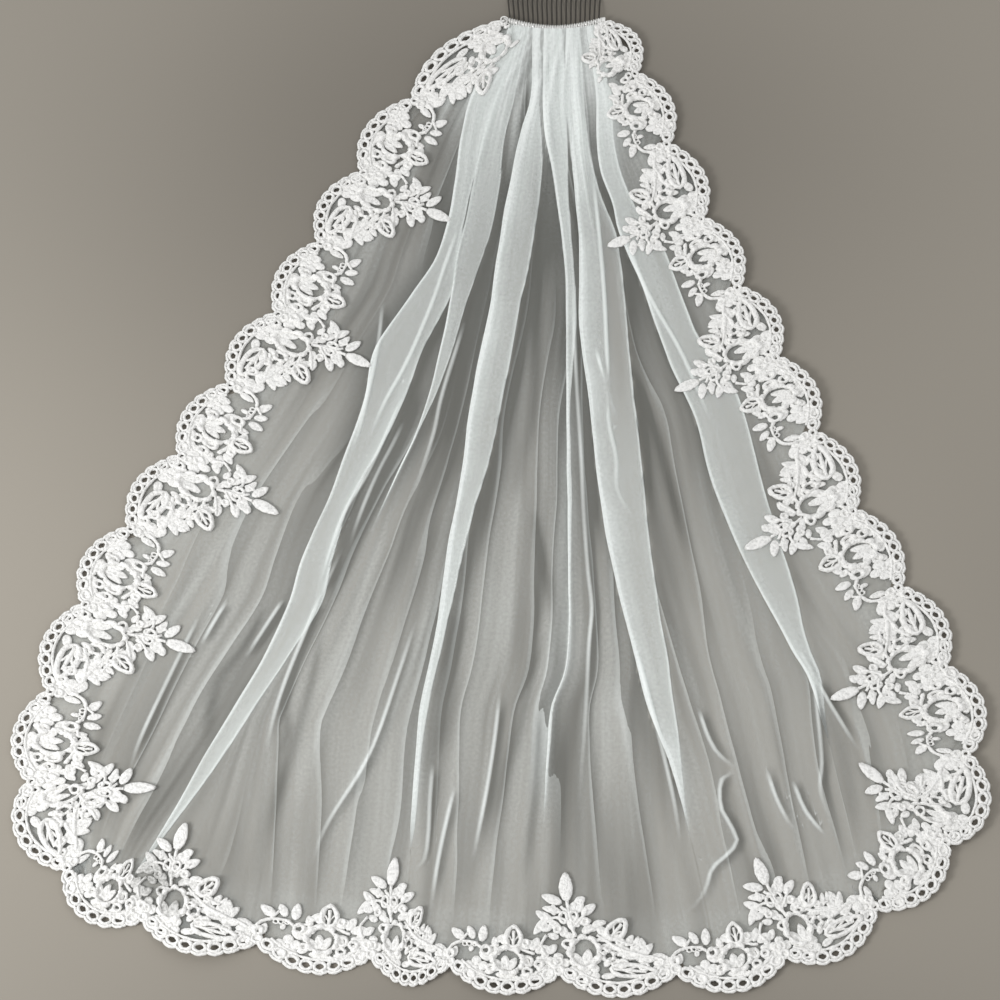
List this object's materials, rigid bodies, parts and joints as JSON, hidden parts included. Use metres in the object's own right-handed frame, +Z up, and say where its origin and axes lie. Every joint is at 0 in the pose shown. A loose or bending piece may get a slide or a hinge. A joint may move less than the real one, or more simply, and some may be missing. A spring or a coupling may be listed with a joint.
{
  "type": "bridal veil with comb",
  "caption": "One-tier veil laid flat: sheer tulle gathered on a wire comb, pressed into long folds, with a scalloped lace trim round sides and hem.",
  "frame": {"origin": "on the surface it lies on, below the middle of the whole outline, comb included", "axes": "+Z up from the surface it lies on; +Y from the hem towards the comb; +X to the right as seen from the hem"},
  "size_m": [0.8428, 1.0084, 0.008],
  "materials": {
    "tulle": "fine sheer net, soft matt",
    "lace": "corded floral lace, matt white",
    "comb_wire": "thin plated wire"
  },
  "bodies": {
    "root": {"tulle_panel": "tulle", "pleat_far_left": "tulle", "pleat_left": "tulle", "pleat_centre_left": "tulle", "pleat_centre": "tulle", "pleat_centre_right": "tulle", "pleat_right": "tulle", "gathered_heading": "tulle", "lace_left": "lace", "lace_hem": "lace", "lace_right": "lace", "comb_spine": "comb_wire", "comb_tooth_01": "comb_wire", "comb_tooth_02": "comb_wire", "comb_tooth_03": "comb_wire", "comb_tooth_04": "comb_wire", "comb_tooth_05": "comb_wire", "comb_tooth_06": "comb_wire", "comb_tooth_07": "comb_wire", "comb_tooth_08": "comb_wire", "comb_tooth_09": "comb_wire", "comb_tooth_10": "comb_wire", "comb_tooth_11": "comb_wire", "comb_tooth_12": "comb_wire", "comb_tooth_13": "comb_wire", "comb_tooth_14": "comb_wire", "comb_tooth_15": "comb_wire", "comb_tooth_16": "comb_wire", "comb_tooth_17": "comb_wire", "comb_tooth_18": "comb_wire", "comb_tooth_19": "comb_wire", "comb_tooth_20": "comb_wire"}
  },
  "joints": []
}
